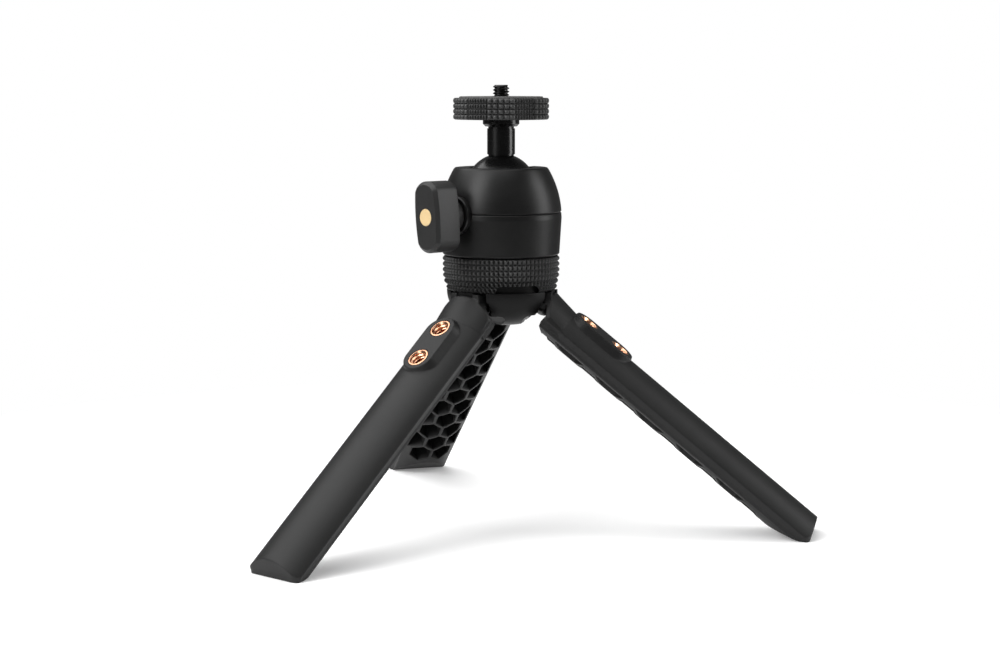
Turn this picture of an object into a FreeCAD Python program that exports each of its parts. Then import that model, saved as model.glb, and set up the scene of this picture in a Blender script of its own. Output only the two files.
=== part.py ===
import FreeCAD, Part
import Sketcher
import math
import os

# Mini tripod with a ball head: three folding legs, a ball head with a drop slot and a lock knob,
# and a knurled wheel that tightens a camera down on a 1/4 inch screw.
# Frame: the ground is z = 0, the head's axis is x = y = 0, and the rear leg points along +Y.
# Millimetres and degrees.

Vector = FreeCAD.Vector
Rotation = FreeCAD.Rotation
Placement = FreeCAD.Placement
Z_AXIS = Vector(0, 0, 1)

SIZES = [
    # how far cutting shapes run past what they cut, and a reach beyond any part of a leg
    ("overrun", 2.0),
    ("beyond", 30.0),
    # camera screw, clamp wheel and its pad
    ("screw_radius", 3.175),
    ("screw_root_radius", 2.6),
    ("screw_pitch", 1.27),
    ("screw_crest", 0.8),
    ("screw_free_length", 4.4),
    ("screw_chamfer", 0.6),
    ("screw_relief_length", 0.8),
    ("screw_relief_rise", 0.2),
    ("screw_embedded", 9.0),
    ("pad_radius", 16.2),
    ("pad_thickness", 1.8),
    ("pad_proud", 0.6),
    ("pad_bore_radius", 4.3),
    ("pad_gap", 0.1),
    ("pad_chamfer", 0.3),
    ("wheel_radius", 19.1),
    ("wheel_height", 8.2),
    ("wheel_chamfer", 0.5),
    ("wheel_flat_depth", 0.45),
    ("wheel_lobe_count", 6),
    ("wheel_lobe_angle", 34.0),
    ("knurl_depth", 0.45),
    ("wheel_row_count", 4),
    # stem and ball
    ("stem_radius", 5.375),
    ("stem_undercut", 0.4),
    ("stem_undercut_height", 0.8),
    ("flange_radius", 7.05),
    ("flange_height", 2.6),
    ("flange_chamfer", 1.0),
    ("stem_height", 14.1),
    ("ball_radius", 13.85),
    ("ball_gap", 0.15),
    ("ball_rise", 8.6),
    # head shells
    ("rim_rise", 8.5),
    ("rim_inner_radius", 12.4),
    ("rim_bevel", 1.3),
    ("shell_radius", 23.5),
    ("cap_arc_radius", 37.0),
    ("cap_arc_drop", 2.3),
    ("split_rise", 16.5),
    ("split_groove", 0.45),
    ("hub_plate_height", 13.6),
    ("shell_foot_radius", 22.66),
    ("shell_foot_chamfer", 0.5),
    ("shell_bore_radius", 15.6),
    ("bore_taper", 1.0),
    ("shell_floor_thickness", 6.9),
    ("cap_skirt_radius", 19.0),
    ("cap_skirt_length", 5.2),
    ("skirt_gap", 0.05),
    ("slot_direction", 135.0),
    ("slot_width", 12.2),
    ("seat_top_drop", 6.2),
    ("seat_wall", 3.2),
    ("seat_gap", 0.15),
    ("seat_relief", 0.5),
    # lock knob
    ("knob_direction", -65.0),
    ("knob_drop", 0.5),
    ("knob_lean", 5.0),
    ("knob_length", 27.0),
    ("knob_width", 13.6),
    ("knob_depth", 11.4),
    ("knob_face_reach", 39.2),
    ("knob_side_bulge", 0.7),
    ("knob_end_bulge", 3.2),
    ("knob_corner", 3.4),
    ("knob_bevel", 1.3),
    ("knob_back_bevel", 0.5),
    ("neck_radius", 5.7),
    ("knob_clearance", 0.25),
    ("inlay_radius", 3.3),
    ("inlay_thickness", 1.2),
    ("inlay_chamfer", 0.25),
    ("lock_screw_radius", 3.0),
    ("lock_screw_end", 35.5),
    ("lock_screw_chamfer", 1.0),
    ("boss_radius", 7.3),
    ("boss_reach", 24.4),
    ("boss_thickness", 2.4),
    ("boss_tube_radius", 4.6),
    ("boss_tube_start", 17.2),
    ("boss_chamfer", 0.4),
    ("brake_radius", 3.4),
    ("brake_start", 8.2),
    ("brake_end", 15.0),
    ("running_gap", 0.05),
    # hub, collar and base screw
    ("collar_gap", 0.4),
    ("collar_top_radius", 22.7),
    ("collar_bottom_radius", 21.5),
    ("collar_straight", 7.0),
    ("collar_row_count", 6),
    ("arch_height", 2.9),
    ("arch_width", 17.6),
    ("arch_corner", 2.4),
    ("hub_radius", 19.6),
    ("hub_floor_rise", 5.6),
    ("lobe_radius", 21.1),
    ("lobe_bowl_radius", 13.2),
    ("lobe_cross_radius", 17.2),
    ("column_radius", 7.0),
    ("column_drop", 6.5),
    ("base_screw_radius", 3.0),
    ("base_screw_head_radius", 4.9),
    ("base_screw_head_height", 5.0),
    ("base_screw_grip", 5.5),
    ("base_screw_recess", 1.0),
    ("socket_radius", 2.9),
    ("socket_depth", 2.8),
    ("washer_thickness", 0.8),
    ("screw_hole_gap", 0.15),
    # leg hinge
    ("pivot_radius", 17.5),
    ("pivot_height", 87.1),
    ("leg_slope", 38.96),
    ("leg_fold", 51.0),
    ("pin_radius", 1.5),
    ("pin_half_length", 7.8),
    ("lug_half_width", 3.8),
    ("lug_radius", 3.2),
    ("lug_reach", 3.1),
    ("lug_back_reach", 4.6),
    ("lug_root", 1.0),
    ("lug_shoulder", 0.8),
    ("lug_back_height", 0.5),
    ("lug_side_gap", 0.25),
    ("lug_round_gap", 0.3),
    ("lug_slot_reach", 0.4),
    ("ear_radius", 5.2),
    ("ear_half_width", 9.3),
    ("cheek_half_width", 8.7),
    ("tongue_foot_width", 13.2),
    ("tongue_foot_drop", 5.6),
    ("tongue_neck_width", 7.3),
    ("tongue_neck_rise", 2.2),
    ("tongue_top_width", 6.6),
    ("tongue_round", 15.0),
    ("cheek_reach", 3.6),
    ("shoulder_reach", 2.4),
    ("shoulder_drop", 3.2),
    ("end_throat", 0.4),
    ("end_throat_drop", 7.1),
    ("end_middle_drop", 10.2),
    ("end_ridge_reach", 1.0),
    ("end_ridge_drop", 13.9),
    ("end_foot_reach", 5.1),
    ("lobe_gap", 1.0),
    ("flare_rise", 1.6),
    ("flare_end_rise", 0.1),
    ("flare_half_width", 12.5),
    ("flare_start", 0.4),
    ("flare_end", 12.0),
    ("sweep_gap", 0.35),
    ("sweep_depth", 15.0),
    ("sweep_reach", 40.0),
    # leg moulding
    ("leg_crown", 4.49),
    ("leg_arc_radius", 16.4),
    ("leg_half_width", 13.0),
    ("rim_half_width", 11.6),
    ("rim_top_drop", 9.1),
    ("rim_bottom_drop", 10.2),
    ("ridge_drop", 14.6),
    ("leg_length", 141.0),
    ("end_facet_top_reach", 123.6),
    ("end_facet_top_height", 7.2),
    ("end_facet_lean", 17.0),
    ("sole_start_reach", 101.7),
    ("sole_start_height", 5.5),
    ("sole_end_reach", 117.5),
    ("foot_round", 3.2),
    ("cell_pitch", 20.0),
    ("cell_row", 4.6),
    ("cell_rib", 1.1),
    ("cell_first", 20.0),
    ("cell_columns", 5),
    ("cell_edge", 10.5),
    ("cell_ceiling_drop", 6.4),
    ("pad_seat_start", 12.1),
    ("pad_seat_end", 39.1),
    ("pad_seat_half_width", 6.4),
    ("pad_seat_rise", 1.3),
    ("pad_seat_taper", 24.0),
    ("insert_radius", 4.1),
    ("insert_length", 6.4),
    ("insert_bore_radius", 2.6),
    ("insert_chamfer", 0.8),
    ("insert_first", 17.7),
    ("insert_spacing", 15.6),
]

LEGS = [("left", -60.0), ("right", 60.0), ("rear", 180.0)]

doc = FreeCAD.newDocument("mini_tripod")
sheet = doc.addObject("Spreadsheet::Sheet", "sizes")


class Size:
    """A size with its value in numbers and in the spreadsheet's own words."""

    def __init__(self, value, words):
        self.value = value
        self.words = words

    def combine(self, other, symbol, value):
        return Size(value, "(" + self.words + " " + symbol + " " + words_of(other) + ")")

    def __add__(self, other):
        return self.combine(other, "+", self.value + value_of(other))

    def __sub__(self, other):
        return self.combine(other, "-", self.value - value_of(other))

    def __mul__(self, other):
        return self.combine(other, "*", self.value * value_of(other))

    def __truediv__(self, other):
        return self.combine(other, "/", self.value / value_of(other))

    def __radd__(self, other):
        return Size(float(other), words_of(other)) + self

    def __rsub__(self, other):
        return Size(float(other), words_of(other)) - self

    def __rmul__(self, other):
        return Size(float(other), words_of(other)) * self

    def __rtruediv__(self, other):
        return Size(float(other), words_of(other)) / self

    def __neg__(self):
        return 0 - self


def value_of(size):
    return size.value if isinstance(size, Size) else float(size)


def words_of(size):
    return size.words if isinstance(size, Size) else repr(float(size))


def cosine(size):
    return Size(math.cos(math.radians(value_of(size))), "cos(" + words_of(size) + ")")


def sine(size):
    return Size(math.sin(math.radians(value_of(size))), "sin(" + words_of(size) + ")")


def root(size):
    return Size(math.sqrt(value_of(size)), "sqrt(" + words_of(size) + ")")


class Sheet:
    """Hands out the driving dimensions by name."""


for row, (alias, number) in enumerate(SIZES, start=1):
    cell = "B%d" % row
    sheet.set("A%d" % row, alias)
    sheet.set(cell, str(number))
    sheet.setAlias(cell, alias)
    setattr(Sheet, alias, Size(float(number), "sizes." + alias))
doc.recompute()
s = Sheet

# Heights above the ground, stacked up from the leg hinges

s.hub_floor_height = s.pivot_height + s.hub_floor_rise
s.collar_bottom_height = s.hub_floor_height
s.column_foot_height = s.pivot_height - s.column_drop
s.shell_foot_height = s.hub_floor_height + s.hub_plate_height
s.base_screw_top = s.shell_foot_height + s.base_screw_grip
s.shell_floor_height = s.shell_foot_height + s.shell_floor_thickness
s.split_height = s.shell_foot_height + s.split_rise
s.cap_arc_height = s.split_height - s.cap_arc_drop
s.knob_height = s.split_height - s.knob_drop
s.ball_centre_height = s.split_height + s.ball_rise
s.seat_top_height = s.ball_centre_height - s.seat_top_drop
s.rim_height = s.ball_centre_height + s.rim_rise


# Sketches, features and bodies

def along(direction):
    """Unit vector on the ground plane: 0 faces -Y, and angles turn towards +X."""
    angle = math.radians(direction)
    return Vector(math.sin(angle), -math.cos(angle), 0)


def new_body(name):
    body = doc.addObject("PartDesign::Body", name)
    body.Label = name
    return body


def new_sketch(body, plane, offset=None, turn=0.0, lean=0.0):
    """A sketch on one of the body's origin planes, lifted along its normal, and turned about its own Y
    or leant about its own X."""
    sketch = body.newObject("Sketcher::SketchObject", body.Name + "_sketch")
    planes = {feature.Role: feature for feature in body.Origin.OriginFeatures}
    sketch.AttachmentSupport = [(planes[plane], "")]
    sketch.MapMode = "FlatFace"
    spin = Rotation(Vector(0, 1, 0), value_of(turn)) * Rotation(Vector(1, 0, 0), value_of(lean))
    sketch.AttachmentOffset = Placement(spin.multVec(Vector(0, 0, value_of(offset or 0))), spin)
    if offset is not None and value_of(turn) == 0.0 and value_of(lean) == 0.0:
        sketch.setExpression(".AttachmentOffset.Base.z", words_of(offset))
    return sketch


def bind(sketch, constraint, size, name):
    index = sketch.addConstraint(constraint)
    if isinstance(size, Size):
        sketch.renameConstraint(index, name)
        sketch.setExpression("Constraints." + name, size.words)


def bind_arc(sketch, index, start, end, radius, name):
    """Fixes an arc between two fixed ends: a half circle by its centre, any other by its radius."""
    across = value_of(end[0]) - value_of(start[0])
    up = value_of(end[1]) - value_of(start[1])
    radius = -radius if value_of(radius) < 0 else radius
    if abs(math.hypot(across, up) / 2 - value_of(radius)) > 1e-6:
        bind(sketch, Sketcher.Constraint("Radius", index, value_of(radius)), radius, name)
    elif abs(across) > abs(up):
        bind(sketch, Sketcher.Constraint("DistanceY", -1, 1, index, 3, value_of(start[1])), start[1], name)
    else:
        bind(sketch, Sketcher.Constraint("DistanceX", -1, 1, index, 3, value_of(start[0])), start[0], name)


def draw_outline(sketch, corners, arcs=None):
    """A closed outline through the corners. arcs maps a side's number to its radius, and a radius
    below zero bows the side to the other hand."""
    arcs = arcs or {}
    first = sketch.GeometryCount
    count = len(corners)
    points = [Vector(value_of(a), value_of(b), 0) for a, b in corners]
    starts = []
    for side, start in enumerate(points):
        end = points[(side + 1) % count]
        if side in arcs:
            radius = abs(value_of(arcs[side]))
            chord = end - start
            half = chord.Length / 2
            rise = radius - math.sqrt(max(radius * radius - half * half, 0.0))
            bow = Vector(chord.y, -chord.x, 0).normalize()
            if value_of(arcs[side]) < 0:
                bow = -bow
            middle = (start + end) * 0.5 + bow * rise
            sketch.addGeometry(Part.Arc(start, middle, end), False)
        else:
            sketch.addGeometry(Part.LineSegment(start, end), False)
        starts.append(1 if (sketch.getPoint(first + side, 1) - start).Length < 1e-6 else 2)
    for side in range(count):
        follower = (side + 1) % count
        sketch.addConstraint(Sketcher.Constraint("Coincident", first + side, 3 - starts[side],
                                                 first + follower, starts[follower]))
    for side, (a, b) in enumerate(corners):
        tag = "%d" % (first + side)
        bind(sketch, Sketcher.Constraint("DistanceX", -1, 1, first + side, starts[side], value_of(a)), a, "x" + tag)
        bind(sketch, Sketcher.Constraint("DistanceY", -1, 1, first + side, starts[side], value_of(b)), b, "y" + tag)
        if side in arcs:
            bind_arc(sketch, first + side, corners[side], corners[(side + 1) % count], arcs[side], "r" + tag)


def draw_circle(sketch, across, up, radius):
    index = sketch.addGeometry(Part.Circle(Vector(value_of(across), value_of(up), 0), Vector(0, 0, 1),
                                           value_of(radius)), False)
    tag = "%d" % index
    bind(sketch, Sketcher.Constraint("DistanceX", -1, 1, index, 3, value_of(across)), across, "x" + tag)
    bind(sketch, Sketcher.Constraint("DistanceY", -1, 1, index, 3, value_of(up)), up, "y" + tag)
    bind(sketch, Sketcher.Constraint("Radius", index, value_of(radius)), radius, "r" + tag)


def revolve(body, sketch, kind="Revolution", axis="V_Axis"):
    feature = body.newObject("PartDesign::" + kind, body.Name + "_" + kind.lower())
    feature.Profile = sketch
    feature.ReferenceAxis = (sketch, [axis])
    feature.Angle = 360.0
    return feature


def extrude(body, sketch, length, kind="Pad", symmetric=False, backwards=False):
    feature = body.newObject("PartDesign::" + kind, body.Name + "_" + kind.lower())
    feature.Profile = sketch
    feature.Length = value_of(length)
    if isinstance(length, Size):
        feature.setExpression("Length", length.words)
    feature.Midplane = symmetric
    feature.Reversed = backwards
    return feature


def turned(name, corners, arcs=None):
    """A body turned about its Z axis from an outline of (radius, height) corners."""
    body = new_body(name)
    sketch = new_sketch(body, "XZ_Plane")
    draw_outline(sketch, corners, arcs)
    revolve(body, sketch)
    return body


def turned_cut(body, corners, arcs=None):
    sketch = new_sketch(body, "XZ_Plane")
    draw_outline(sketch, corners, arcs)
    return revolve(body, sketch, "Groove")


def pattern_round(body, feature, count, angle=360.0):
    """Copies a feature round the body's Z axis and makes the copies the body's tip."""
    pattern = body.newObject("PartDesign::PolarPattern", body.Name + "_polar")
    axes = {part.Role: part for part in body.Origin.OriginFeatures}
    pattern.Originals = [feature]
    pattern.Axis = (axes["Z_Axis"], [""])
    pattern.Angle = angle
    pattern.Occurrences = int(value_of(count))
    if isinstance(count, Size):
        pattern.setExpression("Occurrences", count.words)
    body.Tip = pattern
    return pattern


def pattern_along(body, feature, count, pitch):
    """Copies a feature along the body's X axis at one pitch."""
    pattern = body.newObject("PartDesign::LinearPattern", body.Name + "_linear")
    axes = {part.Role: part for part in body.Origin.OriginFeatures}
    pattern.Originals = [feature]
    pattern.Direction = (axes["X_Axis"], [""])
    pattern.Occurrences = int(value_of(count))
    pattern.setExpression("Occurrences", count.words)
    length = pitch * (count - 1)
    pattern.Length = value_of(length)
    pattern.setExpression("Length", length.words)
    body.Tip = pattern
    return pattern


def radial_hole(body, direction, height, radius, outer, inner):
    """A round hole that runs in towards the axis from outer to inner at the given height."""
    sketch = new_sketch(body, "XZ_Plane", offset=outer, turn=direction)
    draw_circle(sketch, 0, height, radius)
    return extrude(body, sketch, outer - inner, "Pocket")


# Camera screw, wheel and pad

stem_foot = s.ball_centre_height + root(s.ball_radius * s.ball_radius - s.stem_radius * s.stem_radius)
flange_foot = stem_foot + s.stem_height - s.flange_height
wheel_seat = stem_foot + s.stem_height
wheel_foot = wheel_seat + s.pad_gap
wheel_top = wheel_foot + s.wheel_height
pad_top = wheel_top + s.pad_proud
screw_top = pad_top + s.screw_free_length
screw_foot = wheel_seat - s.screw_embedded


def threaded_rod(name, foot, thread_foot, top, radius, root_radius, pitch, crest, chamfer):
    """A rod whose upper part carries thread crests, drawn as rings of the screw's own pitch."""
    corners = [(0, foot), (radius, foot)]
    turns = int((value_of(top) - value_of(thread_foot) - value_of(chamfer)) / value_of(pitch))
    slope = (pitch - crest) / 2
    for turn in range(turns):
        base = thread_foot + pitch * turn
        corners += [(radius, base), (root_radius, base + slope), (root_radius, base + slope + slope * 0.2),
                    (radius, base + slope * 2)]
    corners += [(radius, top - chamfer), (radius - chamfer, top), (0, top)]
    return turned(name, corners)


camera_screw = threaded_rod("camera_screw", screw_foot, wheel_seat + s.screw_pitch * 0.5, screw_top, s.screw_radius,
                            s.screw_root_radius, s.screw_pitch, s.screw_crest, s.screw_chamfer)
relief_top = pad_top + s.screw_relief_rise
turned_cut(camera_screw, [
    (s.screw_root_radius, relief_top - s.screw_relief_length),
    (s.screw_radius + s.overrun, relief_top - s.screw_relief_length),
    (s.screw_radius + s.overrun, relief_top),
    (s.screw_root_radius, relief_top),
])

wheel_bore = s.screw_radius + s.running_gap
recess_depth = s.pad_thickness - s.pad_proud
clamp_wheel = turned("clamp_wheel", [
    (wheel_bore, wheel_foot),
    (s.wheel_radius - s.wheel_chamfer, wheel_foot),
    (s.wheel_radius, wheel_foot + s.wheel_chamfer),
    (s.wheel_radius, wheel_top - s.wheel_chamfer),
    (s.wheel_radius - s.wheel_chamfer, wheel_top),
    (s.pad_radius + s.pad_gap, wheel_top),
    (s.pad_radius + s.pad_gap, wheel_top - recess_depth - s.pad_gap),
    (wheel_bore, wheel_top - recess_depth - s.pad_gap),
])
flat_inner = s.wheel_radius - s.wheel_flat_depth
flat_sketch = new_sketch(clamp_wheel, "XY_Plane", offset=wheel_foot - s.overrun)
half_flat = (360 / s.wheel_lobe_count - s.wheel_lobe_angle) / 2
flat_outer = s.wheel_radius + s.overrun
draw_outline(flat_sketch, [
    (flat_inner * cosine(half_flat), -flat_inner * sine(half_flat)),
    (flat_outer * cosine(half_flat), -flat_outer * sine(half_flat)),
    (flat_outer * cosine(half_flat), flat_outer * sine(half_flat)),
    (flat_inner * cosine(half_flat), flat_inner * sine(half_flat)),
], {3: -flat_inner})
flat_cut = extrude(clamp_wheel, flat_sketch, s.wheel_height + s.overrun * 2, "Pocket", backwards=True)
pattern_round(clamp_wheel, flat_cut, s.wheel_lobe_count)


def ring_groove(body, height, surface):
    """A V-shaped ring round a knurled rim, between two rows of its knurl."""
    half = s.knurl_depth + s.overrun
    outside = surface + s.overrun
    turned_cut(body, [(surface - s.knurl_depth, height), (outside, height - half), (outside, height + half)])


for number in range(1, int(s.wheel_row_count.value)):
    ring_groove(clamp_wheel, wheel_foot + s.wheel_height / s.wheel_row_count * number, s.wheel_radius)

wheel_pad = turned("wheel_pad", [
    (s.pad_bore_radius, pad_top - s.pad_thickness),
    (s.pad_radius, pad_top - s.pad_thickness),
    (s.pad_radius, pad_top - s.pad_chamfer),
    (s.pad_radius - s.pad_chamfer, pad_top),
    (s.pad_bore_radius, pad_top),
])

# Stem and ball

stem_hole = s.screw_radius + s.running_gap
cup = s.ball_radius + s.ball_gap
stem_skirt = s.stem_radius - s.stem_undercut
stem_turned = turned("stem_turned", [
    (0, s.ball_centre_height + s.stem_radius),
    (stem_skirt, s.ball_centre_height + s.stem_radius),
    (stem_skirt, stem_foot + s.stem_undercut_height),
    (s.stem_radius, stem_foot + s.stem_undercut_height),
    (s.stem_radius, flange_foot - s.stem_undercut_height),
    (stem_skirt, flange_foot - s.stem_undercut_height),
    (stem_skirt, flange_foot),
    (s.flange_radius - s.flange_chamfer, flange_foot),
    (s.flange_radius, flange_foot + s.flange_chamfer),
    (s.flange_radius, wheel_seat),
    (stem_hole, wheel_seat),
    (stem_hole, screw_foot - s.running_gap),
    (0, screw_foot - s.running_gap),
])
stem_cup = doc.addObject("Part::Sphere", "stem_cup")
stem_cup.setExpression("Radius", cup.words)
stem_cup.setExpression(".Placement.Base.z", s.ball_centre_height.words)
stem = doc.addObject("Part::Cut", "stem")
stem.Label = "stem"
stem.Base = stem_turned
stem.Tool = stem_cup

ball = doc.addObject("Part::Sphere", "ball")
ball.Label = "ball"
ball.setExpression("Radius", s.ball_radius.words)
ball.setExpression(".Placement.Base.z", s.ball_centre_height.words)

# Head shells, ball seat

cavity = s.ball_radius + s.ball_gap
lip_height = s.rim_height - s.rim_bevel
lip_radius = root(cavity * cavity - (lip_height - s.ball_centre_height) * (lip_height - s.ball_centre_height))


def cap_radius_at(height):
    rise = height - s.cap_arc_height
    return s.shell_radius - s.cap_arc_radius + root(s.cap_arc_radius * s.cap_arc_radius - rise * rise)


rim_round = s.shell_foot_chamfer
skirt_foot = s.split_height - s.cap_skirt_length
head_cap = turned("head_cap", [
    (lip_radius, lip_height),
    (cavity, s.ball_centre_height),
    (cavity, s.seat_top_height + s.bore_taper * 2),
    (s.shell_bore_radius, s.seat_top_height + s.bore_taper),
    (s.shell_bore_radius, skirt_foot),
    (s.cap_skirt_radius, skirt_foot),
    (s.cap_skirt_radius, s.split_height),
    (cap_radius_at(s.split_height) - s.split_groove, s.split_height),
    (cap_radius_at(s.split_height + s.split_groove), s.split_height + s.split_groove),
    (cap_radius_at(s.rim_height - rim_round), s.rim_height - rim_round),
    (cap_radius_at(s.rim_height - rim_round) - rim_round, s.rim_height),
    (s.rim_inner_radius, s.rim_height),
], {0: -cavity, 8: s.cap_arc_radius})

slot_half = s.slot_width / 2
slot_outer = s.shell_radius + s.overrun
slot_inner = s.ball_radius * 0.6
slot_sketch = new_sketch(head_cap, "XZ_Plane", offset=slot_outer, turn=s.slot_direction)
draw_outline(slot_sketch, [
    (-slot_half, s.ball_centre_height),
    (slot_half, s.ball_centre_height),
    (slot_half, s.rim_height + s.overrun),
    (-slot_half, s.rim_height + s.overrun),
], {0: slot_half})
extrude(head_cap, slot_sketch, slot_outer - slot_inner, "Pocket")

body_top_radius = cap_radius_at(s.split_height)
skirt_bore = s.cap_skirt_radius + s.skirt_gap
seat_bore = s.shell_bore_radius
screw_thread = s.base_screw_radius + s.running_gap
head_body = turned("head_body", [
    (screw_thread, s.shell_foot_height),
    (s.shell_foot_radius - s.shell_foot_chamfer, s.shell_foot_height),
    (s.shell_foot_radius, s.shell_foot_height + s.shell_foot_chamfer),
    (cap_radius_at(s.cap_arc_height), s.cap_arc_height),
    (body_top_radius - s.running_gap, s.split_height - s.split_groove),
    (body_top_radius - s.split_groove, s.split_height),
    (skirt_bore, s.split_height),
    (skirt_bore, skirt_foot - s.skirt_gap),
    (seat_bore, skirt_foot - s.skirt_gap),
    (seat_bore, s.shell_floor_height),
    (screw_thread, s.shell_floor_height),
])

for shell in (head_cap, head_body):
    radial_hole(shell, s.knob_direction, s.knob_height, s.boss_radius + s.running_gap, slot_outer,
                s.boss_reach - s.boss_thickness)
    radial_hole(shell, s.knob_direction, s.knob_height, s.boss_tube_radius + s.running_gap, slot_outer,
                s.shell_bore_radius - s.overrun)

seat_radius = seat_bore - s.running_gap
seat_inner = seat_radius - s.seat_wall
seat_cup = s.ball_radius + s.seat_gap
seat_hole = seat_inner / 2
ball_seat = turned("ball_seat", [
    (seat_hole, s.shell_floor_height),
    (seat_radius, s.shell_floor_height),
    (seat_radius, skirt_foot - s.seat_relief * 2),
    (seat_radius - s.seat_relief, s.seat_top_height),
    (root(seat_cup * seat_cup - (s.ball_centre_height - s.seat_top_height)
          * (s.ball_centre_height - s.seat_top_height)), s.seat_top_height),
    (seat_hole, s.ball_centre_height - root(seat_cup * seat_cup - seat_hole * seat_hole)),
], {4: -seat_cup})
radial_hole(ball_seat, s.knob_direction, s.knob_height, s.brake_radius + s.seat_gap, seat_radius + s.overrun,
            s.brake_start - s.overrun)

# Lock knob, built about its own axis: X runs level, Y up, Z outwards from the head's axis

lock_place = Placement(Vector(0, 0, s.knob_height.value),
                       Rotation(Z_AXIS, s.knob_direction.value) * Rotation(Vector(1, 0, 0), 90))


brake_back = s.brake_end
brake_rod = doc.addObject("Part::Cylinder", "brake_rod")
brake_rod.setExpression("Radius", s.brake_radius.words)
brake_rod.setExpression("Height", (brake_back - s.brake_start).words)
brake_rod.setExpression(".Placement.Base.z", s.brake_start.words)
brake_ball = doc.addObject("Part::Sphere", "brake_ball")
brake_ball.setExpression("Radius", (s.ball_radius + s.seat_gap).words)
brake_ball.setExpression(".Placement.Base.y", (s.ball_centre_height - s.knob_height).words)
brake_pad = doc.addObject("Part::Cut", "brake_pad")
brake_pad.Label = "brake_pad"
brake_pad.Base = brake_rod
brake_pad.Tool = brake_ball

lock_screw = turned("lock_screw", [
    (0, brake_back),
    (s.lock_screw_radius - s.lock_screw_chamfer, brake_back),
    (s.lock_screw_radius, brake_back + s.lock_screw_chamfer),
    (s.lock_screw_radius, s.lock_screw_end),
    (0, s.lock_screw_end),
])
boss_bore = s.lock_screw_radius + s.running_gap
lock_boss = turned("lock_boss", [
    (boss_bore, s.boss_tube_start),
    (s.boss_tube_radius, s.boss_tube_start),
    (s.boss_tube_radius, s.boss_reach - s.boss_thickness),
    (s.boss_radius, s.boss_reach - s.boss_thickness),
    (s.boss_radius, s.boss_reach - s.boss_chamfer),
    (s.boss_radius - s.boss_chamfer, s.boss_reach),
    (boss_bore, s.boss_reach),
])

grip_foot = s.knob_face_reach - s.knob_depth
knob_grip = new_body("knob_grip")
grip_sketch = new_sketch(knob_grip, "XY_Plane", offset=grip_foot)
half_side = s.knob_width / 2 - s.knob_side_bulge
half_end = s.knob_length / 2 - s.knob_end_bulge


def bow_radius(half_chord, rise):
    return (half_chord * half_chord + rise * rise) / (2 * rise)


draw_outline(grip_sketch, [
    (half_side, -half_end),
    (half_side, half_end),
    (-half_side, half_end),
    (-half_side, -half_end),
], {0: bow_radius(half_end, s.knob_side_bulge), 1: bow_radius(half_side, s.knob_end_bulge),
    2: bow_radius(half_end, s.knob_side_bulge), 3: bow_radius(half_side, s.knob_end_bulge)})
extrude(knob_grip, grip_sketch, s.knob_depth)
doc.recompute()


def edges_where(shape, test):
    return ["Edge%d" % number for number, edge in enumerate(shape.Edges, start=1) if test(edge)]


def round_edges(body, test, radius, kind="Fillet"):
    """Rounds or bevels the edges of the body's tip that pass the test."""
    doc.recompute()
    base = body.Tip
    feature = body.newObject("PartDesign::" + kind, body.Name + "_" + kind.lower())
    feature.Base = (base, edges_where(base.Shape, test))
    size_name = "Radius" if kind == "Fillet" else "Size"
    setattr(feature, size_name, value_of(radius))
    feature.setExpression(size_name, radius.words)
    return feature


def runs_along(edge, axis, length):
    """True for a straight edge of the given length along a direction."""
    if edge.Curve.TypeId != "Part::GeomLine":
        return False
    return abs(edge.Length - length) < 0.01 and abs(abs(edge.tangentAt(edge.FirstParameter).dot(axis)) - 1) < 1e-6


def lies_at(edge, height):
    return abs(edge.BoundBox.ZMin - height) < 1e-6 and abs(edge.BoundBox.ZMax - height) < 1e-6


round_edges(knob_grip, lambda edge: runs_along(edge, Z_AXIS, s.knob_depth.value), s.knob_corner)
round_edges(knob_grip, lambda edge: lies_at(edge, s.knob_face_reach.value), s.knob_bevel, "Chamfer")
round_edges(knob_grip, lambda edge: lies_at(edge, value_of(grip_foot)), s.knob_back_bevel, "Fillet")
neck_foot = s.boss_reach + s.knob_clearance
neck_sketch = new_sketch(knob_grip, "XY_Plane", offset=neck_foot)
draw_circle(neck_sketch, 0, 0, s.neck_radius)
extrude(knob_grip, neck_sketch, grip_foot - neck_foot + s.overrun)
bore_sketch = new_sketch(knob_grip, "XY_Plane", offset=neck_foot - s.overrun)
draw_circle(bore_sketch, 0, 0, boss_bore)
extrude(knob_grip, bore_sketch, s.lock_screw_end - neck_foot + s.overrun + s.running_gap, "Pocket", backwards=True)
inlay_sketch = new_sketch(knob_grip, "XY_Plane", offset=s.knob_face_reach)
draw_circle(inlay_sketch, 0, 0, s.inlay_radius)
extrude(knob_grip, inlay_sketch, s.inlay_thickness, "Pocket")

knob_inlay = turned("knob_inlay", [
    (0, s.knob_face_reach - s.inlay_thickness),
    (s.inlay_radius, s.knob_face_reach - s.inlay_thickness),
    (s.inlay_radius, s.knob_face_reach - s.inlay_chamfer),
    (s.inlay_radius - s.inlay_chamfer, s.knob_face_reach),
    (0, s.knob_face_reach),
])

lean_place = lock_place * Placement(Vector(0, 0, 0), Rotation(Z_AXIS, s.knob_lean.value))
for part in (brake_pad, lock_screw, lock_boss):
    part.Placement = lock_place
for part in (knob_grip, knob_inlay):
    part.Placement = lean_place

# Knurled collar

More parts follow.
